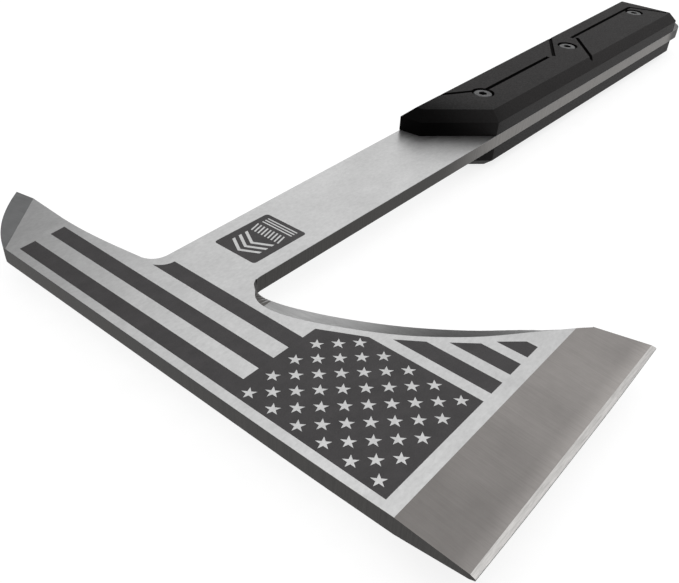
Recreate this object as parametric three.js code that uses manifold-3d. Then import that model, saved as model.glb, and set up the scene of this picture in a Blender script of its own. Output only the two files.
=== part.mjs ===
// An axe-shaped grill spatula: a full-tang steel plate held between two moulded handle scales.
// Millimetres. +X runs from the head to the butt, +Y from the cutting edge to the spike, +Z up.
// The origin is under the middle of the whole object, on the surface it lies on.
import * as THREE from "three";
import { mergeVertices } from "three/addons/utils/BufferGeometryUtils.js";
import Module from "manifold-3d";

// Overall sizes.
const LENGTH = 374;
const HEAD_WIDTH = 186;
const SCALE_THICK = 9;
const PLATE_THICK = 5;

const HEAD_X = -LENGTH / 2;
const BUTT_X = LENGTH / 2;
const EDGE_Y = -HEAD_WIDTH / 2;
const TIP_Y = HEAD_WIDTH / 2;
const PLATE_Z = SCALE_THICK;
const PLATE_TOP = PLATE_Z + PLATE_THICK;
const PLATE_MID = PLATE_Z + PLATE_THICK / 2;
const TOTAL_Z = PLATE_TOP + SCALE_THICK;

// The neck and tang: one edge is parallel to X, the other flares towards the butt, less so
// between the scales than along the neck.
const NECK_EDGE_Y = 1.75;
const NECK_FLARE = 0.0302;
const TANG_FLARE = 0.026;
const FLARED_Y_AT_HEAD = 27.2;
const SCALE_START_X = -41.1;

function flaredY(x) {
  const neck = Math.min(x, SCALE_START_X) - HEAD_X;
  const tang = Math.max(x - SCALE_START_X, 0);
  return FLARED_Y_AT_HEAD + NECK_FLARE * neck + TANG_FLARE * tang;
}

// Each corner of the tang's end, which stands out past the scales, has this radius.
const TANG_RADIUS = 14.5;

// The head's straight side, which curves in a little before it reaches the toe.
const SIDE_END = new THREE.Vector2(HEAD_X, -36);
const SIDE_CORNER = new THREE.Vector2(HEAD_X, -66);

// The cutting edge bows out slightly between toe and heel. It has a wide bevel, whose inner side
// is straight, and a narrow one, the same on both faces.
const TOE_X = -186.1;
const HEEL_X = -96.5;
const BELLY_X = -152;
const EDGE_BOW = 1.8e-4;
const EDGE_STEPS = 16;
const BEVEL_Y = -74;
const MICRO_BEVEL = 1.3;
const MICRO_HALF = 0.75;
const EDGE_HALF = 0.25;

// The beard's hollow back: a point on its thin edge, and how wide the bevel is there.
const BEARD = [
  { x: -102.4, y: -76.9, bevel: 0.3 },
  { x: -113.2, y: -64.2, bevel: 3.4 },
  { x: -124.6, y: -52.4, bevel: 5.2 },
  { x: -135.0, y: -39.0, bevel: 6.2 },
  { x: -143.4, y: -24.9, bevel: 6.4 },
  { x: -148.6, y: -13.4, bevel: 6.4 },
  { x: -150.8, y: -6.0, bevel: 5.0 },
  { x: -150.9, y: -2.0, bevel: 1.5 },
  { x: -150.0, y: 0.2, bevel: 0.6 },
  { x: -148.4, y: 1.5, bevel: 0.3 },
];
const BEARD_HALF = 0.35;
const BEARD_STEPS = 45;
const THROAT_CLEARANCE = 1.5;
const THROAT_X = -147;

// The spike's back: a fillet from the neck, then a shallow curve that straightens towards the tip.
const FILLET_X = -157;
const FILLET_CORNER_X = -162;
const BACK_START = new THREE.Vector2(-163.3, 32.5);
const BACK_HANDLES = [new THREE.Vector2(-164.6, 42), new THREE.Vector2(-166.4, 52)];
const BACK_END = new THREE.Vector2(-166.3, 66);

// The spike: a ground flat on each face, from a straight line out to the curved edge.
const SPIKE_CORNER = new THREE.Vector2(HEAD_X, 64);
const SPIKE_TIP = new THREE.Vector2(-165.4, TIP_Y);
const SPIKE_BULGE = new THREE.Vector2(-180.3, 81.5);
const GRIND_START = new THREE.Vector2(-186.6, 63.4);
const GRIND_END = new THREE.Vector2(-166.3, 81.7);
const GRIND_WIDTH = 8.6;
const SPIKE_HALF = 0.25;

// The handle scales: an upright wall, then a chamfer up to the flat face.
const SCALE_WALL = 5.4;
const SCALE_INSET = 4.1;
const SCALE_NOSE = new THREE.Vector2(-40.3, 22.7);
const SCALE_FRONT_X = -18.6;
const SCALE_END_X = 170.4;
const SCALE_RADIUS = 4.6;

// Grooves moulded in each scale's flat face, from one end to the other.
const GROOVE_WIDTH = 1.7;
const GROOVE_DEPTH = 1.4;
const GROOVES = [
  [-21, 29.2, -6.3, 20.8],
  [-2, 18.4, 52.9, 19],
  [55.9, 17.8, 79.2, 31.8],
  [67, 4.5, 88, 22],
  [86, 23.9, 158.4, 25.3],
  [158.2, 25.4, 164.8, 7.2],
];

// Three screws, each in a barrel nut that reaches up through the tang into the upper scale.
const FASTENERS = [
  { place: "front", x: -5.2, y: 17.6 },
  { place: "middle", x: 74, y: 20 },
  { place: "rear", x: 151.4, y: 19.8 },
];
const RECESS_RADIUS = 4.6;
const RECESS_DEPTH = 2.5;
const HOLE_RADIUS = 3.3;
const HEAD_RADIUS = 3.8;
const HEAD_THICK = 2.2;
const HEAD_ROUND = 0.5;
const SOCKET_ACROSS = 3;
const SOCKET_DEPTH = 1.5;
const SHANK_RADIUS = 2;
const SHANK_LENGTH = 12;
const BARREL_RADIUS = 3;
const BARREL_LENGTH = 14;
const BORE_RADIUS = 2.25;
const BORE_DEPTH = 13;
const ROUND_STEPS = 32;

// How far cutters run clear of what they cut, and past an edge along their own slope.
const PAST = 2;
const OVERRUN = 1.2;

const STEEL = { color: 0xc9c9c8, roughness: 0.35, metalness: 1 };
const SCALE_PLASTIC = { color: 0x3d3b3c, roughness: 0.6, metalness: 0 };
const FASTENER_STEEL = { color: 0x4a4a4c, roughness: 0.3, metalness: 1 };

const wasm = await Module();
wasm.setup();

// A closed three.js geometry as a manifold-3d solid.
function solid(geometry) {
  const bare = geometry.clone();
  bare.deleteAttribute("normal");
  bare.deleteAttribute("uv");
  const merged = mergeVertices(bare, 1e-4);
  return new wasm.Manifold(
    new wasm.Mesh({
      numProp: 3,
      vertProperties: new Float32Array(merged.attributes.position.array),
      triVerts: new Uint32Array(merged.index.array),
    }),
  );
}

function geometryOf(body) {
  const mesh = body.getMesh();
  const geometry = new THREE.BufferGeometry();
  geometry.setAttribute("position", new THREE.BufferAttribute(mesh.vertProperties, 3));
  geometry.setIndex(new THREE.BufferAttribute(mesh.triVerts, 1));
  const flat = geometry.toNonIndexed();
  flat.computeVertexNormals();
  return flat;
}

function named(name, body, look) {
  const mesh = new THREE.Mesh(geometryOf(body), new THREE.MeshStandardMaterial(look));
  mesh.name = name;
  return mesh;
}

function slab(shape, z0, z1, curveSegments) {
  const options = { depth: z1 - z0, bevelEnabled: false, curveSegments };
  return new THREE.ExtrudeGeometry(shape, options).translate(0, 0, z0);
}

function drum(radius, x, y, z0, z1) {
  const geometry = new THREE.CylinderGeometry(radius, radius, z1 - z0, ROUND_STEPS);
  return solid(geometry.rotateX(Math.PI / 2).translate(x, y, (z0 + z1) / 2));
}

// A bar with the given polygon as its section. The polygon's axes are along "side" and Z.
function bar(section, start, along, side, length) {
  const geometry = new THREE.ExtrudeGeometry(new THREE.Shape(section), {
    depth: length,
    bevelEnabled: false,
  });
  const basis = new THREE.Matrix4().makeBasis(side, new THREE.Vector3(0, 0, 1), along);
  return solid(geometry.applyMatrix4(basis.setPosition(start)));
}

// The same solid turned over about the plate's middle plane.
function mirrored(body) {
  return body.mirror([0, 0, 1]).translate([0, 0, 2 * PLATE_MID]);
}

function plateShape() {
  const endX = BUTT_X - TANG_RADIUS;
  const flaredEnd = flaredY(endX);
  const [toe, ...places] = edgePlaces();
  const shape = new THREE.Shape();
  shape.moveTo(toe.x, toe.y);
  for (const { x, y } of [...places, ...beardStations().map(({ edge }) => edge)]) {
    shape.lineTo(x, y);
  }
  shape.lineTo(THROAT_X, NECK_EDGE_Y);
  shape.lineTo(endX, NECK_EDGE_Y);
  shape.absarc(endX, NECK_EDGE_Y + TANG_RADIUS, TANG_RADIUS, -Math.PI / 2, 0);
  shape.absarc(endX, flaredEnd - TANG_RADIUS, TANG_RADIUS, 0, Math.PI / 2);
  shape.lineTo(SCALE_START_X, flaredY(SCALE_START_X));
  shape.lineTo(FILLET_X, flaredY(FILLET_X));
  shape.quadraticCurveTo(FILLET_CORNER_X, flaredY(FILLET_CORNER_X), BACK_START.x, BACK_START.y);
  const [h0, h1] = BACK_HANDLES;
  shape.bezierCurveTo(h0.x, h0.y, h1.x, h1.y, BACK_END.x, BACK_END.y);
  shape.lineTo(SPIKE_TIP.x, SPIKE_TIP.y);
  shape.quadraticCurveTo(SPIKE_BULGE.x, SPIKE_BULGE.y, SPIKE_CORNER.x, SPIKE_CORNER.y);
  shape.lineTo(SIDE_END.x, SIDE_END.y);
  shape.quadraticCurveTo(SIDE_CORNER.x, SIDE_CORNER.y, toe.x, toe.y);
  return shape;
}

// Places along the cutting edge, from the toe to the heel.
function edgePlaces() {
  return Array.from({ length: EDGE_STEPS + 1 }, (_, i) => {
    const x = THREE.MathUtils.lerp(TOE_X, HEEL_X, i / EDGE_STEPS);
    return new THREE.Vector2(x, EDGE_Y + EDGE_BOW * (x - BELLY_X) ** 2);
  });
}

// What the two bevels take off the cutting edge, above the plate's middle.
function edgeCutter() {
  const places = edgePlaces();
  const before = places[0].clone().setX(TOE_X - PAST);
  const after = places.at(-1).clone().setX(HEEL_X + PAST);
  const microTop = PLATE_MID + MICRO_HALF;
  const low = microTop + OVERRUN * (EDGE_HALF - MICRO_HALF);
  const rings = [before, ...places, after].map(({ x, y }) => [
    [x, BEVEL_Y, PLATE_TOP],
    [x, y + MICRO_BEVEL, microTop],
    [x, y + MICRO_BEVEL * (1 - OVERRUN), low],
    [x, EDGE_Y - PAST, low],
    [x, EDGE_Y - PAST, PLATE_TOP + PAST],
    [x, BEVEL_Y, PLATE_TOP + PAST],
  ]);
  return solid(lofted(rings));
}

// What the grinding takes off the spike, above the plate's middle.
function spikeCutter() {
  const line = GRIND_END.clone().sub(GRIND_START);
  const length = line.length();
  const along = new THREE.Vector3(line.x, line.y, 0).normalize();
  const out = new THREE.Vector3(-along.y, along.x, 0);
  const reach = 2 * GRIND_WIDTH;
  const drop = PLATE_THICK / 2 - SPIKE_HALF;
  const section = [
    new THREE.Vector2(0, PLATE_TOP),
    new THREE.Vector2(0, PLATE_TOP + PAST),
    new THREE.Vector2(reach, PLATE_TOP + PAST),
    new THREE.Vector2(reach, PLATE_MID + SPIKE_HALF),
    new THREE.Vector2(GRIND_WIDTH, PLATE_TOP - drop),
  ];
  const overhang = 2 * GRIND_WIDTH;
  const start = new THREE.Vector3(GRIND_START.x, GRIND_START.y, 0).addScaledVector(along, -overhang);
  return bar(section, start, along, out, length + 2 * overhang);
}

// Places along the beard's thin edge, each with the inner side of the bevel beside it.
function beardStations() {
  const path = new THREE.SplineCurve(BEARD.map((p) => new THREE.Vector2(p.x, p.y)));
  const widths = new THREE.SplineCurve(BEARD.map((p, i) => new THREE.Vector2(i, p.bevel)));
  return Array.from({ length: BEARD_STEPS + 1 }, (_, i) => {
    const t = i / BEARD_STEPS;
    const tangent = path.getTangent(t);
    const out = new THREE.Vector2(tangent.y, -tangent.x);
    const edge = path.getPoint(t);
    const inner = edge.clone().addScaledVector(out, -widths.getPoint(t).y);
    return { edge, inner, out };
  });
}

// What the beard's bevel takes off above the plate's middle: a wedge that follows the thin edge.
function beardCutter() {
  const stations = beardStations();
  const drop = OVERRUN * (PLATE_THICK / 2 - BEARD_HALF);
  const rings = stations.map(({ edge, inner, out }) => {
    const low = inner.clone().lerp(edge, OVERRUN);
    const past = edge.clone().addScaledVector(out, THROAT_CLEARANCE);
    return [
      [inner.x, inner.y, PLATE_TOP],
      [low.x, low.y, PLATE_TOP - drop],
      [past.x, past.y, PLATE_TOP - drop],
      [past.x, past.y, PLATE_TOP + PAST],
      [inner.x, inner.y, PLATE_TOP + PAST],
    ];
  });
  return solid(lofted(rings));
}

// A closed surface through rings of points, one ring after the other, with flat ends.
function lofted(rings) {
  const sides = rings[0].length;
  const last = (rings.length - 1) * sides;
  const index = [];
  for (let i = 0; i < last; i += sides) {
    for (let k = 0; k < sides; k++) {
      const a = i + k;
      const b = i + ((k + 1) % sides);
      index.push(a, b + sides, b, a, a + sides, b + sides);
    }
  }
  for (let k = 1; k < sides - 1; k++) {
    index.push(0, k, k + 1);
    index.push(last, last + k + 1, last + k);
  }
  const geometry = new THREE.BufferGeometry();
  geometry.setAttribute("position", new THREE.Float32BufferAttribute(rings.flat(2), 3));
  geometry.setIndex(index);
  return geometry;
}

function bladePlate() {
  let plate = solid(slab(plateShape(), PLATE_Z, PLATE_TOP, 24));
  for (const cutter of [edgeCutter(), spikeCutter(), beardCutter()]) {
    plate = plate.subtract(cutter).subtract(mirrored(cutter));
  }
  for (const { x, y } of FASTENERS) {
    plate = plate.subtract(drum(HOLE_RADIUS, x, y, PLATE_Z - PAST, PLATE_TOP + PAST));
  }
  return named("blade_plate", plate, STEEL);
}

function scaleShape() {
  const x = SCALE_END_X - SCALE_RADIUS;
  const shape = new THREE.Shape();
  shape.moveTo(SCALE_START_X, flaredY(SCALE_START_X));
  shape.lineTo(SCALE_NOSE.x, SCALE_NOSE.y);
  shape.lineTo(SCALE_FRONT_X, NECK_EDGE_Y);
  shape.absarc(x, NECK_EDGE_Y + SCALE_RADIUS, SCALE_RADIUS, -Math.PI / 2, 0);
  shape.absarc(x, flaredY(x) - SCALE_RADIUS, SCALE_RADIUS, 0, Math.PI / 2);
  shape.closePath();
  return shape;
}

function grooveCutter([x0, y0, x1, y1]) {
  const length = Math.hypot(x1 - x0, y1 - y0);
  const height = GROOVE_DEPTH + PAST;
  const geometry = new THREE.BoxGeometry(length, GROOVE_WIDTH, height);
  geometry.rotateZ(Math.atan2(y1 - y0, x1 - x0));
  geometry.translate((x0 + x1) / 2, (y0 + y1) / 2, TOTAL_Z - GROOVE_DEPTH + height / 2);
  return solid(geometry);
}

// The upper scale. ExtrudeGeometry chamfers both ends, and the lower end is cut off at the plate.
function scaleSolid() {
  const drop = SCALE_THICK - SCALE_WALL;
  const geometry = new THREE.ExtrudeGeometry(scaleShape(), {
    depth: 2 * SCALE_WALL,
    curveSegments: 8,
    bevelThickness: drop,
    bevelSize: SCALE_INSET,
    bevelOffset: -SCALE_INSET,
    bevelSegments: 1,
  }).translate(0, 0, PLATE_TOP - SCALE_WALL);
  const below = new THREE.BoxGeometry(2 * LENGTH, HEAD_WIDTH, 2 * SCALE_THICK);
  below.translate(0, 0, PLATE_TOP - SCALE_THICK);
  let scale = solid(geometry).subtract(solid(below));
  for (const groove of GROOVES) {
    scale = scale.subtract(grooveCutter(groove));
  }
  for (const { x, y } of FASTENERS) {
    scale = scale.subtract(drum(HOLE_RADIUS, x, y, PLATE_Z, TOTAL_Z));
    scale = scale.subtract(drum(RECESS_RADIUS, x, y, TOTAL_Z - RECESS_DEPTH, TOTAL_Z + PAST));
  }
  return scale;
}

// A round head with its underside at z = 0, a rounded rim and whatever hangs below it.
function headProfile(below) {
  const rim = HEAD_RADIUS - HEAD_ROUND;
  return [
    ...below,
    new THREE.Vector2(HEAD_RADIUS, 0),
    new THREE.Vector2(HEAD_RADIUS, HEAD_THICK - HEAD_ROUND),
    new THREE.Vector2(rim + HEAD_ROUND * Math.SQRT1_2, HEAD_THICK - HEAD_ROUND * (1 - Math.SQRT1_2)),
    new THREE.Vector2(rim, HEAD_THICK),
    new THREE.Vector2(0, HEAD_THICK),
  ];
}

function turned(profile) {
  return solid(new THREE.LatheGeometry(profile, ROUND_STEPS).rotateX(Math.PI / 2));
}

// A hexagonal socket sunk in the head's top.
function socketCutter() {
  const radius = SOCKET_ACROSS / 2 / Math.cos(Math.PI / 6);
  const height = SOCKET_DEPTH + PAST;
  const geometry = new THREE.CylinderGeometry(radius, radius, height, 6);
  geometry.rotateX(Math.PI / 2).translate(0, 0, HEAD_THICK - SOCKET_DEPTH + height / 2);
  return solid(geometry);
}

function screwSolid() {
  const below = [
    new THREE.Vector2(0, -SHANK_LENGTH),
    new THREE.Vector2(SHANK_RADIUS, -SHANK_LENGTH),
    new THREE.Vector2(SHANK_RADIUS, 0),
  ];
  return turned(headProfile(below)).subtract(socketCutter());
}

function barrelNutSolid() {
  const below = [
    new THREE.Vector2(0, BORE_DEPTH - BARREL_LENGTH),
    new THREE.Vector2(BORE_RADIUS, BORE_DEPTH - BARREL_LENGTH),
    new THREE.Vector2(BORE_RADIUS, -BARREL_LENGTH),
    new THREE.Vector2(BARREL_RADIUS, -BARREL_LENGTH),
    new THREE.Vector2(BARREL_RADIUS, 0),
  ];
  return turned(headProfile(below)).subtract(socketCutter());
}

const spatula = new THREE.Group();
spatula.add(bladePlate());

const upperScale = scaleSolid();
spatula.add(named("scale_upper", upperScale, SCALE_PLASTIC));
spatula.add(named("scale_lower", mirrored(upperScale), SCALE_PLASTIC));

const seatZ = TOTAL_Z - RECESS_DEPTH;
for (const { place, x, y } of FASTENERS) {
  const screw = named("screw_" + place, screwSolid(), FASTENER_STEEL);
  screw.position.set(x, y, seatZ);
  spatula.add(screw);

  const nut = named("barrel_nut_" + place, barrelNutSolid(), FASTENER_STEEL);
  nut.position.set(x, y, RECESS_DEPTH);
  nut.rotation.x = Math.PI;
  spatula.add(nut);
}

export default spatula;
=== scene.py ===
"""An axe-shaped grill spatula, lying on a pale floor in soft studio light."""

import math

import bmesh
import bpy
from mathutils import Matrix, Vector
from mathutils.geometry import delaunay_2d_cdt


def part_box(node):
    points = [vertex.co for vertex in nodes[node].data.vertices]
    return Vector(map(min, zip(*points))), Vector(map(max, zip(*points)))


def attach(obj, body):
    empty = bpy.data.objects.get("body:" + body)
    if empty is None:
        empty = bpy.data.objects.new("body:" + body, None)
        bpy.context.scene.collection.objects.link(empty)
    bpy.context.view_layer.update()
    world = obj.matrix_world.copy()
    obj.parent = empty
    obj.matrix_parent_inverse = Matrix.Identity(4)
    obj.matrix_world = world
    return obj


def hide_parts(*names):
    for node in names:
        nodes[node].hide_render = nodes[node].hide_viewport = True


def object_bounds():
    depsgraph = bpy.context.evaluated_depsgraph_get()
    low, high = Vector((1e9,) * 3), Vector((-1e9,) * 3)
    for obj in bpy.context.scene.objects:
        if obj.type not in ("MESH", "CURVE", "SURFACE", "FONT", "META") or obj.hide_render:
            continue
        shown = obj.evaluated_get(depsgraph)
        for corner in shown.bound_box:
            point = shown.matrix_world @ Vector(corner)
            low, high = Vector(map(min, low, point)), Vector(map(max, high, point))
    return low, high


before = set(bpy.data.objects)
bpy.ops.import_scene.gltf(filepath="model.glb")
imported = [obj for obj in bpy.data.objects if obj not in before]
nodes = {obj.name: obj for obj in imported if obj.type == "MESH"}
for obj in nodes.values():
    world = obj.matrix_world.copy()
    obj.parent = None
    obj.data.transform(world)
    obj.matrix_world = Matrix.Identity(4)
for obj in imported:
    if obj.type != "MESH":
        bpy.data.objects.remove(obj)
cad_low, cad_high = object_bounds()
plate_low, plate_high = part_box("blade_plate")
grip_start, grip_end = (corner.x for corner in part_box("scale_upper"))
MM = 0.001
PLACES = ("front", "middle", "rear")

# Etched art, in millimetres from the toe: x from the head's straight side, y from the cutting edge.
FIELD = [(2.8, 22.8), (40.3, 22.8), (40.3, 56.5), (33.5, 68.6), (2.8, 68.6)]
STAR_FIRST = (5.65, 64.3)
STAR_STEP = (3.915, -3.754)
STAR_COLUMNS = 9
STAR_ROWS = 11
STAR_RADIUS = 1.95
STAR_WAIST = 0.382
LONG_STRIPES = [((2.8, 8.05), (153.2, 153.7)), ((13.15, 18.2), (153.8, 154.4))]
FILLET_STRIPE = ((23.55, 28.75), (120.4, 117.2))
FILLET_BEND = 0.35
FILLET_STEPS = 8
SHORT_STRIPES = [
    ((43.75, 48.85), (51.5, 44.8)),
    ((52.6, 57.85), (40.3, 34.2)),
    ((61.15, 66.6), (31.7, 26.0)),
]
BADGE = ((43.3, 65.6), (100.3, 116.8))
BADGE_CORNER = 1.1
CORNER_STEPS = 4
BADGE_MARGIN = 2.2
ART_OVERLAP = 1.0

# The badge's marks: how many of each, how far into the badge, apart and thick.
CHEVRONS = 3
CHEVRON_AT = 1.6
CHEVRON_STEP = 2.6
CHEVRON_REACH = 5.6
CHEVRON_DEPTH = 3.2
CHEVRON_THICK = 1.1
SLANTED_LINES = 9
SLANTED_SPAN = (12.3, 16.3)
SLANTED_AT = 2.3
SLANTED_STEP = 1.35
SLANT = 1.0
SLANTED_THICK = 0.55
UPRIGHT_LINES = 3
UPRIGHT_AT = 17.8
UPRIGHT_STEP = 1.2
UPRIGHT_THICK = 0.5

# The camera, in the frame's metres and degrees.
CAMERA_AT = Vector((-0.26955, -0.12151, 0.13804))
CAMERA_FORWARD = Vector((0.63526, 0.49287, -0.59461))
CAMERA_ROLL = 3.48
LENS = 40.675

# What tells the cutting edge's narrow bevel from the wide one: how far in it goes, and how steep.
HONED_WIDTH = 2.2 * MM
HONED_RISE = 0.96

# How much of each kind of edge is rounded off.
PLATE_SOFTENING = 0.3 * MM
GRIP_SOFTENING = 0.35 * MM
FASTENER_SOFTENING = 0.12 * MM
SHARP_ANGLE = math.radians(50)

# How deep the scales' grooves and recesses reach below their flat faces.
GROOVE_REACH = 3.5 * MM

# Between these places along Y, in metres, the beard's bevel turns from dark to bright: painted shade and
# painted highlight.
BEARD_DARK_Y = -0.058
BEARD_BRIGHT_Y = -0.014

WORLD_LIGHT = 0.22
FLOOR_GLOW = 0.82
FLOOR_SIZE = 30.0

# The blade's materials, by slot.
SATIN, ETCHED, CUT, GROUND, HONED, BEARD, SPIKE = range(7)

# The scales' materials, by slot.
MOULDED, GROOVE_SHADE = range(2)

STEEL = (0.58, 0.58, 0.58)
GROUND_STEEL = (0.27, 0.255, 0.245)
HONED_STEEL = (0.66, 0.645, 0.63)
BEARD_STEEL = (0.25, 0.25, 0.25)
SPIKE_STEEL = (0.42, 0.425, 0.43)
# CUT_STEEL is very dark for steel: partly the cut sides' own darker finish, partly painted shade for the
# dark surroundings they reflect.
CUT_STEEL = (0.056, 0.054, 0.052)
ETCH = (0.030, 0.0275, 0.0285)
PLASTIC = (0.0085, 0.0072, 0.0072)
FASTENER = (0.05, 0.05, 0.052)


# ---------------------------------------------------------------- materials

class Shader:
    """A material's node tree, with short calls for what the materials here share."""

    def __init__(self, name):
        self.material = bpy.data.materials.new(name)
        self.material.use_nodes = True
        self.tree = self.material.node_tree
        self.surface = self.tree.nodes["Principled BSDF"]
        self.place = self.node("ShaderNodeTexCoord").outputs["Object"]

    def node(self, kind, **settings):
        made = self.tree.nodes.new(kind)
        for key, value in settings.items():
            setattr(made, key, value)
        return made

    def link(self, source, target):
        self.tree.links.new(source, target)

    def noise(self, size, detail=3.0, roughness=0.55):
        """Noise whose cells measure size, in metres along X, Y and Z."""
        mapping = self.node("ShaderNodeMapping")
        mapping.inputs["Scale"].default_value = [1 / s for s in size]
        self.link(self.place, mapping.inputs["Vector"])
        texture = self.node("ShaderNodeTexNoise")
        texture.inputs["Scale"].default_value = 1.0
        texture.inputs["Detail"].default_value = detail
        texture.inputs["Roughness"].default_value = roughness
        self.link(mapping.outputs["Vector"], texture.inputs["Vector"])
        return texture.outputs["Fac"]

    def spread(self, source, low, high, start=0.3, end=0.7):
        """The source's start to end, stretched over low to high."""
        ranged = self.node("ShaderNodeMapRange")
        ranged.inputs["From Min"].default_value = start
        ranged.inputs["From Max"].default_value = end
        ranged.inputs["To Min"].default_value = low
        ranged.inputs["To Max"].default_value = high
        self.link(source, ranged.inputs["Value"])
        return ranged.outputs["Result"]

    def tint(self, source, dark, light):
        """A colour that runs from dark to light as the source runs from 0.3 to 0.7."""
        ramp = self.node("ShaderNodeValToRGB")
        ramp.color_ramp.elements[0].position = 0.3
        ramp.color_ramp.elements[0].color = (*dark, 1)
        ramp.color_ramp.elements[1].position = 0.7
        ramp.color_ramp.elements[1].color = (*light, 1)
        self.link(source, ramp.inputs["Fac"])
        self.link(ramp.outputs["Color"], self.surface.inputs["Base Color"])
        return ramp.outputs["Color"]

    def along(self, axis, start, end, low, high):
        """A value that eases from low to high between two places, in metres along an axis."""
        parts = self.node("ShaderNodeSeparateXYZ")
        self.link(self.place, parts.inputs["Vector"])
        ranged = self.node("ShaderNodeMapRange", interpolation_type="SMOOTHSTEP")
        ranged.inputs["From Min"].default_value = start
        ranged.inputs["From Max"].default_value = end
        ranged.inputs["To Min"].default_value = low
        ranged.inputs["To Max"].default_value = high
        self.link(parts.outputs[axis], ranged.inputs["Value"])
        return ranged.outputs["Result"]

    def brighten(self, colour, *factors):
        """Multiplies a colour by factors and makes it the base colour."""
        for factor in factors:
            product = self.node("ShaderNodeVectorMath", operation="SCALE")
            self.link(colour, product.inputs[0])
            self.link(factor, product.inputs["Scale"])
            colour = product.outputs["Vector"]
        self.link(colour, self.surface.inputs["Base Color"])

    def bump(self, source, depth, strength=1.0, under=None):
        """Relief of the given depth in metres, laid over other relief."""
        made = self.node("ShaderNodeBump")
        made.inputs["Strength"].default_value = strength
        made.inputs["Distance"].default_value = depth
        self.link(source, made.inputs["Height"])
        if under:
            self.link(under, made.inputs["Normal"])
        self.link(made.outputs["Normal"], self.surface.inputs["Normal"])
        return made.outputs["Normal"]

    def fixed(self, **values):
        for key, value in values.items():
            self.surface.inputs[key.replace("_", " ")].default_value = value
        return self.material


def scaled(colour, factor):
    return tuple(c * factor for c in colour)


def satin_steel():
    """Fine brushing along the tool's length, under faint clouds, with painted shade darkening the tang's
    end.
    """
    shader = Shader("satin_steel")
    clouds = shader.noise((0.03, 0.02, 0.03), detail=6, roughness=0.7)
    speckle = shader.noise((0.0016, 0.0009, 0.0016), detail=3, roughness=0.7)
    brushing = shader.noise((0.009, 0.00022, 0.0022), detail=4, roughness=0.7)
    colour = shader.tint(clouds, scaled(STEEL, 0.88), scaled(STEEL, 1.05))
    # Painted shade: the colour falls to a fifth over the tang's last few millimetres.
    tang_end_shade = shader.along("X", grip_end - 0.008, grip_end - 0.002, 1.0, 0.2)
    shader.brighten(colour, shader.spread(speckle, 0.92, 1.06), tang_end_shade)
    shader.link(shader.spread(brushing, 0.30, 0.42), shader.surface.inputs["Roughness"])
    shader.bump(brushing, 0.000012, strength=0.6)
    return shader.fixed(Metallic=1.0, Anisotropic=0.3)


def ground(name, steel):
    """Steel with grinding marks across a bevel: its shader, its colour and the marks' shading."""
    shader = Shader(name)
    clouds = shader.noise((0.02, 0.02, 0.02), detail=5, roughness=0.65)
    marks = shader.noise((0.0003, 0.012, 0.002), detail=4, roughness=0.7)
    colour = shader.tint(clouds, scaled(steel, 0.88), scaled(steel, 1.1))
    shader.link(shader.spread(marks, 0.30, 0.44), shader.surface.inputs["Roughness"])
    shader.bump(marks, 0.000014, strength=0.7)
    return shader, colour, shader.spread(marks, 0.9, 1.08)


def ground_steel():
    """The wide bevel: painted shade darkens it towards the toe, and it is brighter beside the honed one.
    """
    shader, colour, marked = ground("ground_steel", GROUND_STEEL)
    # Painted shade: the colour falls to two thirds towards the toe.
    toe_shade = shader.along("X", plate_low.x, plate_low.x + 0.07, 0.66, 1.0)
    honing = shader.along("Y", plate_low.y + 0.001, plate_low.y + 0.006, 1.35, 1.0)
    shader.brighten(colour, marked, toe_shade, honing)
    return shader.fixed(Metallic=1.0)


def beard_steel():
    """The beard's bevel, with painted shade that darkens it at the heel and a painted highlight that
    brightens it at the throat.
    """
    shader, colour, marked = ground("beard_steel", BEARD_STEEL)
    # Painted shade towards the heel and a painted highlight at the throat.
    beard_shade_and_highlight = shader.along("Y", BEARD_DARK_Y, BEARD_BRIGHT_Y, 0.26, 2.7)
    shader.brighten(colour, marked, beard_shade_and_highlight)
    return shader.fixed(Metallic=1.0)


def spike_steel():
    """The spike's end bevel."""
    shader, colour, marked = ground("spike_steel", SPIKE_STEEL)
    shader.brighten(colour, marked)
    return shader.fixed(Metallic=1.0)


def cut_steel():
    """The plate's cut sides: dark, with upright marks; painted light makes them brighter by the scales,
    and painted shade darkens the end.
    """
    shader = Shader("cut_steel")
    marks = shader.noise((0.0006, 0.0006, 0.012), detail=5, roughness=0.7)
    colour = shader.tint(marks, scaled(CUT_STEEL, 0.6), scaled(CUT_STEEL, 1.4))
    # Painted light: the sides grow up to 3.9 times brighter towards the scales.
    painted_light_by_scales = shader.along("X", grip_start - 0.02, grip_start + 0.03, 1.0, 3.9)
    # Painted shade: darker at the tang's end.
    tang_end_shade = shader.along("X", grip_end - 0.012, grip_end - 0.001, 1.0, 0.2)
    shader.brighten(colour, painted_light_by_scales, tang_end_shade)
    shader.link(shader.spread(marks, 0.42, 0.6), shader.surface.inputs["Roughness"])
    shader.bump(marks, 0.00004, strength=0.7)
    return shader.fixed(Metallic=1.0)


def honed_steel():
    """The narrow bevel, honed brighter than the one behind it, with streaks along the edge."""
    shader = Shader("honed_steel")
    marks = shader.noise((0.006, 0.0004, 0.0004), detail=4, roughness=0.7)
    shader.tint(marks, scaled(HONED_STEEL, 0.7), scaled(HONED_STEEL, 1.1))
    shader.link(shader.spread(marks, 0.34, 0.46), shader.surface.inputs["Roughness"])
    shader.bump(marks, 0.000004, strength=0.5)
    return shader.fixed(Metallic=1.0)


def black_etch():
    """The matt black left by etching, a little uneven."""
    shader = Shader("black_etch")
    patches = shader.noise((0.006, 0.004, 0.006), detail=5, roughness=0.7)
    grain = shader.noise((0.0004, 0.0003, 0.0004), detail=3)
    shader.tint(patches, scaled(ETCH, 0.8), scaled(ETCH, 1.3))
    shader.link(shader.spread(grain, 0.45, 0.62), shader.surface.inputs["Roughness"])
    shader.bump(grain, 0.00003, strength=0.5)
    return shader.fixed(Metallic=0.2)


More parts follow.
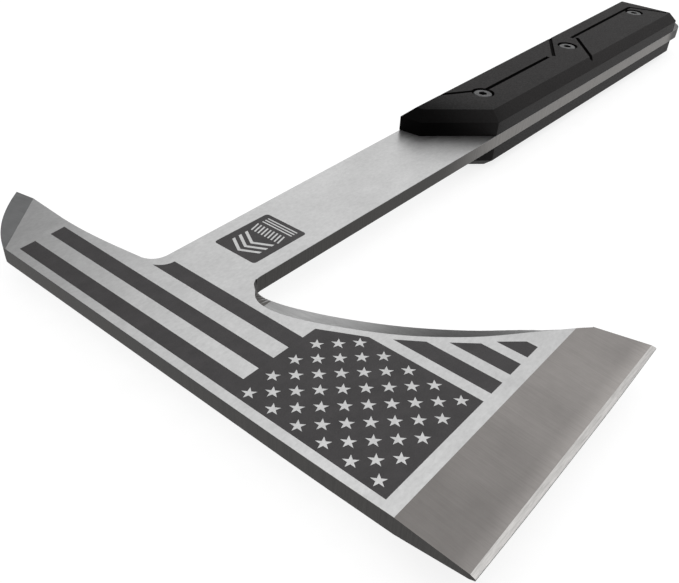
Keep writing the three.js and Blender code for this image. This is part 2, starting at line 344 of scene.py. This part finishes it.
def moulded_plastic():
    """Charcoal plastic with a fine texture and slight shade changes, and painted shade that makes it
    darkest at the front.
    """
    shader = Shader("moulded_plastic")
    patches = shader.noise((0.02, 0.012, 0.02), detail=4)
    grain = shader.noise((0.0006, 0.0006, 0.0006), detail=3)
    pits = shader.noise((0.0018, 0.0018, 0.0018), detail=2)
    colour = shader.tint(patches, scaled(PLASTIC, 0.88), scaled(PLASTIC, 1.12))
    # Painted shade: darkest at the front, lighter towards the rear; the gloss fades at the front with it.
    shader.brighten(colour, shader.along("X", grip_start + 0.002, grip_start + 0.05, 0.12, 1.15))
    gloss = shader.along("X", grip_start + 0.002, grip_start + 0.032, 0.03, 0.17)
    shader.link(gloss, shader.surface.inputs["Specular IOR Level"])
    shader.link(shader.spread(grain, 0.5, 0.68), shader.surface.inputs["Roughness"])
    shader.bump(grain, 0.00006, strength=0.6, under=shader.bump(pits, 0.00008, strength=0.5))
    return shader.material


def groove_shade_plastic():
    """The same plastic down in grooves and recesses, rough, and painted darker there as shade."""
    shader = Shader("groove_shade_plastic")
    grain = shader.noise((0.0005, 0.0005, 0.0005), detail=4)
    # Painted shade: a fifth to under half of the plastic's colour.
    shader.tint(grain, scaled(PLASTIC, 0.2), scaled(PLASTIC, 0.45))
    shader.link(shader.spread(grain, 0.8, 0.95), shader.surface.inputs["Roughness"])
    shader.bump(grain, 0.00008, strength=0.8)
    return shader.fixed(Specular_IOR_Level=0.08)


def dark_fastener():
    """Blackened steel, worn to brighter metal in patches."""
    shader = Shader("dark_fastener")
    wear = shader.noise((0.0012, 0.0012, 0.0012), detail=5, roughness=0.65)
    shader.tint(wear, scaled(FASTENER, 0.4), scaled(FASTENER, 2.2))
    shader.link(shader.spread(wear, 0.38, 0.22), shader.surface.inputs["Roughness"])
    shader.bump(wear, 0.00002, strength=0.5)
    return shader.fixed(Metallic=1.0)


# ---------------------------------------------------------------- etched art

def star(centre):
    """A five-pointed star's corners, one point towards the head's straight side."""
    corners = []
    for k in range(10):
        radius = STAR_RADIUS * (STAR_WAIST if k % 2 else 1)
        angle = math.pi * (1 + k / 5)
        corners.append((centre[0] + radius * math.cos(angle), centre[1] + radius * math.sin(angle)))
    return corners


def stars():
    """Staggered rows and columns, without the one that the field's cut corner takes."""
    made = []
    for column in range(STAR_COLUMNS):
        for row in range(column % 2, STAR_ROWS, 2):
            if (column, row) == (STAR_COLUMNS - 1, 0):
                continue
            x = STAR_FIRST[0] + STAR_STEP[0] * column
            y = STAR_FIRST[1] + STAR_STEP[1] * row
            made.append(star((x, y)))
    return made


def stripe(sides, ends, start):
    (x0, x1), (y0, y1) = sides, ends
    return [(x0, start), (x1, start), (x1, y1), (x0, y0)]


def fillet_stripe(start):
    """The stripe that ends in a hollow curve beside the neck."""
    (x0, x1), (y0, y1) = FILLET_STRIPE
    bend = (x0 + FILLET_BEND * (x1 - x0), y1)
    curve = []
    for k in range(1, FILLET_STEPS):
        t = k / FILLET_STEPS
        a, b, c = t * t, 2 * t * (1 - t), (1 - t) ** 2
        curve.append((a * x0 + b * bend[0] + c * x1, a * y0 + b * bend[1] + c * y1))
    return [(x0, start), (x1, start), (x1, y1), *curve, (x0, y0)]


def rounded(x_range, y_range, radius):
    (x0, x1), (y0, y1) = x_range, y_range
    centres = [(x1 - radius, y1 - radius), (x0 + radius, y1 - radius)]
    centres += [(x0 + radius, y0 + radius), (x1 - radius, y0 + radius)]
    corners = []
    for quarter, (cx, cy) in enumerate(centres):
        for k in range(CORNER_STEPS + 1):
            angle = math.pi / 2 * (quarter + k / CORNER_STEPS)
            corners.append((cx + radius * math.cos(angle), cy + radius * math.sin(angle)))
    return corners


def chevron(x, middle):
    """A chevron's outline, its point at x."""
    far = x + CHEVRON_DEPTH
    return [
        (x, middle),
        (far, middle - CHEVRON_REACH),
        (far + CHEVRON_THICK, middle - CHEVRON_REACH),
        (x + CHEVRON_THICK, middle),
        (far + CHEVRON_THICK, middle + CHEVRON_REACH),
        (far, middle + CHEVRON_REACH),
    ]


def badge_marks():
    """A made-up pattern for the badge: chevrons, a block of slanted lines and upright lines."""
    (x0, _), (y0, y1) = BADGE
    marks = [chevron(x0 + CHEVRON_AT + CHEVRON_STEP * k, (y0 + y1) / 2) for k in range(CHEVRONS)]
    near, far = (x0 + x for x in SLANTED_SPAN)
    for k in range(SLANTED_LINES):
        y = y0 + SLANTED_AT + SLANTED_STEP * k
        end = y + SLANT
        marks.append([(near, y), (far, end), (far, end + SLANTED_THICK), (near, y + SLANTED_THICK)])
    for k in range(UPRIGHT_LINES):
        x = x0 + UPRIGHT_AT + UPRIGHT_STEP * k
        low, high = y0 + BADGE_MARGIN, y1 - BADGE_MARGIN
        marks.append([(x, low), (x + UPRIGHT_THICK, low), (x + UPRIGHT_THICK, high), (x, high)])
    return marks


def art():
    """Outlines that are etched dark, and outlines inside them that stay bright, in metres."""
    field_top = max(y for _, y in FIELD)
    field_base = min(y for _, y in FIELD)
    dark = [FIELD]
    dark += [stripe(sides, ends, field_top - ART_OVERLAP) for sides, ends in LONG_STRIPES]
    dark.append(fillet_stripe(field_top - ART_OVERLAP))
    dark += [stripe(sides, ends, field_base) for sides, ends in SHORT_STRIPES]
    dark.append(rounded(*BADGE, BADGE_CORNER))
    bright = stars() + badge_marks()

    def placed(outline):
        return [Vector((plate_low.x + x * MM, plate_low.y + y * MM)) for x, y in outline]

    return [placed(o) for o in dark], [placed(o) for o in bright]


def inside(point, outline):
    hit = False
    for a, b in zip(outline, outline[1:] + outline[:1]):
        if (a.y > point.y) != (b.y > point.y):
            if point.x < a.x + (point.y - a.y) * (b.x - a.x) / (b.y - a.y):
                hit = not hit
    return hit


# ---------------------------------------------------------------- pieces

def joined_copy(node):
    """The CAD node's surface as an editable mesh, its flat stretches made whole."""
    mesh = bmesh.new()
    mesh.from_mesh(nodes[node].data)
    bmesh.ops.remove_doubles(mesh, verts=mesh.verts, dist=2e-7)
    bmesh.ops.dissolve_limit(
        mesh, angle_limit=math.radians(0.4), verts=mesh.verts, edges=mesh.edges, delimit={"NORMAL"}
    )
    for edge in mesh.edges:
        edge.smooth = True
    mesh.normal_update()
    return mesh


def soften(mesh, edges, width, segments=3):
    bmesh.ops.bevel(
        mesh, geom=edges, offset=width, offset_type="OFFSET", segments=segments,
        profile=0.5, affect="EDGES", clamp_overlap=True,
    )
    mesh.normal_update()


def finished(mesh, name, node, materials):
    """The mesh as a piece of the object that stands for its CAD node."""
    for edge in mesh.edges:
        if edge.calc_face_angle(0) > SHARP_ANGLE:
            edge.smooth = False
    data = bpy.data.meshes.new(name)
    mesh.to_mesh(data)
    mesh.free()
    piece = bpy.data.objects.new(name, data)
    bpy.context.scene.collection.objects.link(piece)
    for material in materials:
        data.materials.append(material)
    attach(piece, "root")
    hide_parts(node)
    data.shade_smooth()
    even = piece.modifiers.new("flat_faces_stay_flat", "WEIGHTED_NORMAL")
    even.keep_sharp = True
    even.weight = 100


def boundary_loops(faces):
    """The edges that only one of the faces has, and their corners in no special order."""
    chosen = set(faces)
    edges = {e for f in faces for e in f.edges if sum(g in chosen for g in e.link_faces) == 1}
    return edges, {v for e in edges for v in e.verts}


def imprint(mesh, faces, dark, bright):
    """Cuts the art's outlines into flat upward faces, and gives the etched faces their slot."""
    height = faces[0].verts[0].co.z
    old = [[v.co.xy for v in f.verts] for f in faces]
    edges, rim = boundary_loops(faces)
    points = list(rim)
    number = {v: i for i, v in enumerate(points)}
    flat = [v.co.xy for v in points]
    lines = [(number[e.verts[0]], number[e.verts[1]]) for e in edges]
    bmesh.ops.delete(mesh, geom=faces, context="FACES")
    for outline in dark + bright:
        first = len(flat)
        flat += outline
        lines += [(first + i, first + (i + 1) % len(outline)) for i in range(len(outline))]
    verts, _, triangles, origin, _, _ = delaunay_2d_cdt(flat, lines, [], 0, 1e-7, True)
    made = []
    for place, source in zip(verts, origin):
        kept = [i for i in source if i < len(points) and points[i].is_valid]
        made.append(points[kept[0]] if kept else mesh.verts.new((place.x, place.y, height)))
    for triangle in triangles:
        centre = sum((verts[i] for i in triangle), Vector((0, 0))) / 3
        if not any(inside(centre, o) for o in old):
            continue
        face = mesh.faces.new([made[i] for i in triangle])
        if face.normal_update() or face.normal.z < 0:
            face.normal_flip()
        if any(inside(centre, o) for o in dark) and not any(inside(centre, o) for o in bright):
            face.material_index = ETCHED
    bmesh.ops.delete(mesh, geom=[v for v in mesh.verts if not v.link_faces], context="VERTS")
    mesh.normal_update()


def blade():
    """The steel plate: softened rims, etched art, ground bevels and cut sides."""
    mesh = joined_copy("blade_plate")

    def flat(face):
        return abs(face.normal.z) > 0.9999

    def upright(face):
        return abs(face.normal.z) < 0.3

    rims = [e for e in mesh.edges if len(e.link_faces) == 2
            and any(flat(f) for f in e.link_faces) and any(upright(f) for f in e.link_faces)]
    soften(mesh, rims, PLATE_SOFTENING, segments=2)
    top = [f for f in mesh.faces if f.normal.z > 0.9999 and f.calc_center_median().z > plate_high.z - 1e-5]
    imprint(mesh, top, *art())
    for face in mesh.faces:
        if upright(face):
            face.material_index = CUT
        elif not flat(face):
            centre = face.calc_center_median()
            if centre.y > 0:
                face.material_index = SPIKE
            elif face.normal.y > 0:
                face.material_index = BEARD
            elif centre.y < plate_low.y + HONED_WIDTH and abs(face.normal.z) < HONED_RISE:
                face.material_index = HONED
            else:
                face.material_index = GROUND
    for edge in mesh.edges:
        looks = {f.material_index for f in edge.link_faces}
        if len({flat(f) for f in edge.link_faces}) == 2 or looks == {GROUND, HONED}:
            edge.smooth = False
    materials = [satin_steel(), black_etch(), cut_steel(), ground_steel(), honed_steel()]
    materials += [beard_steel(), spike_steel()]
    finished(mesh, "blade", "blade_plate", materials)


def scale(node, up, materials):
    """A handle scale with softened outer edges. The grooves and recesses stay crisp and matt, and are
    painted darker as shade.
    """
    mesh = joined_copy(node)
    low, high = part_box(node)
    face_z = high.z if up > 0 else low.z

    def inner(face):
        nearest = min(abs(v.co.z - face_z) for v in face.verts)
        deepest = max(abs(v.co.z - face_z) for v in face.verts)
        upright = abs(face.normal.z) < 0.05
        floor = face.normal.z * up > 0.99 and nearest > 0.1 * MM
        return floor or (upright and deepest < GROOVE_REACH)

    outer = [e for e in mesh.edges if len(e.link_faces) == 2 and e.calc_face_angle(0) > math.radians(20)
             and not any(inner(f) for f in e.link_faces)]
    soften(mesh, outer, GRIP_SOFTENING)
    for face in mesh.faces:
        face.material_index = GROOVE_SHADE if inner(face) else MOULDED
    finished(mesh, node.replace("scale", "grip"), node, materials)


def fastener(node, name, material):
    """A screw or nut with its sharp edges broken."""
    mesh = joined_copy(node)
    sharp = [e for e in mesh.edges if len(e.link_faces) == 2 and e.calc_face_angle(0) > math.radians(40)]
    soften(mesh, sharp, FASTENER_SOFTENING, segments=2)
    finished(mesh, name, node, [material])


# ---------------------------------------------------------------- stage

def floor():
    """A wide pale floor under the object, lit from within like a light table."""
    mesh = bmesh.new()
    bmesh.ops.create_grid(mesh, x_segments=1, y_segments=1, size=FLOOR_SIZE)
    data = bpy.data.meshes.new("floor")
    mesh.to_mesh(data)
    mesh.free()
    made = bpy.data.objects.new("floor", data)
    made.location.z = cad_low.z
    shader = Shader("floor_paper")
    grain = shader.noise((0.01, 0.01, 0.01))
    shader.tint(grain, (0.21, 0.21, 0.21), (0.23, 0.23, 0.23))
    glow = shader.fixed(Roughness=0.9, Emission_Color=(1, 1, 1, 1), Emission_Strength=FLOOR_GLOW)
    data.materials.append(glow)
    bpy.context.scene.collection.objects.link(made)


def softbox(name, direction, distance, size, power, aim=Vector((-0.02, 0.0, 0.0))):
    light = bpy.data.lights.new(name, "AREA")
    light.shape = "RECTANGLE"
    light.size, light.size_y = size
    light.energy = power
    made = bpy.data.objects.new(name, light)
    away = Vector(direction).normalized()
    made.location = aim + away * distance
    made.rotation_mode = "QUATERNION"
    made.rotation_quaternion = away.to_track_quat("Z", "Y")
    bpy.context.scene.collection.objects.link(made)


def toward(azimuth, elevation):
    """A direction from the object: azimuth from +X towards +Y, and elevation, in degrees."""
    a, e = math.radians(azimuth), math.radians(elevation)
    return Vector((math.cos(a) * math.cos(e), math.sin(a) * math.cos(e), math.sin(e)))


def light():
    world = bpy.data.worlds.new("studio")
    world.use_nodes = True
    world.node_tree.nodes["Background"].inputs["Color"].default_value = (1, 1, 1, 1)
    world.node_tree.nodes["Background"].inputs["Strength"].default_value = WORLD_LIGHT
    bpy.context.scene.world = world
    softbox("key", toward(17, 38), distance=1.5, size=(2.3, 1.4), power=8.2)
    softbox("overhead", toward(200, 80), distance=1.6, size=(2.5, 2.5), power=27)


def camera():
    data = bpy.data.cameras.new("camera")
    data.lens = LENS
    data.sensor_width = 36
    data.clip_start = 0.01
    made = bpy.data.objects.new("camera", data)
    made.location = CAMERA_AT
    made.rotation_mode = "QUATERNION"
    aim = CAMERA_FORWARD.to_track_quat("-Z", "Y").to_matrix()
    roll = Matrix.Rotation(math.radians(CAMERA_ROLL), 3, "Z")
    made.rotation_quaternion = (aim @ roll).to_quaternion()
    bpy.context.scene.collection.objects.link(made)
    bpy.context.scene.camera = made


camera()
blade()
plastic = [moulded_plastic(), groove_shade_plastic()]
scale("scale_upper", 1, plastic)
scale("scale_lower", -1, plastic)
metal = dark_fastener()
for place in PLACES:
    fastener("screw_" + place, place + "_screw", metal)
    fastener("barrel_nut_" + place, place + "_nut", metal)
floor()
light()
bpy.context.scene.view_settings.view_transform = "Standard"
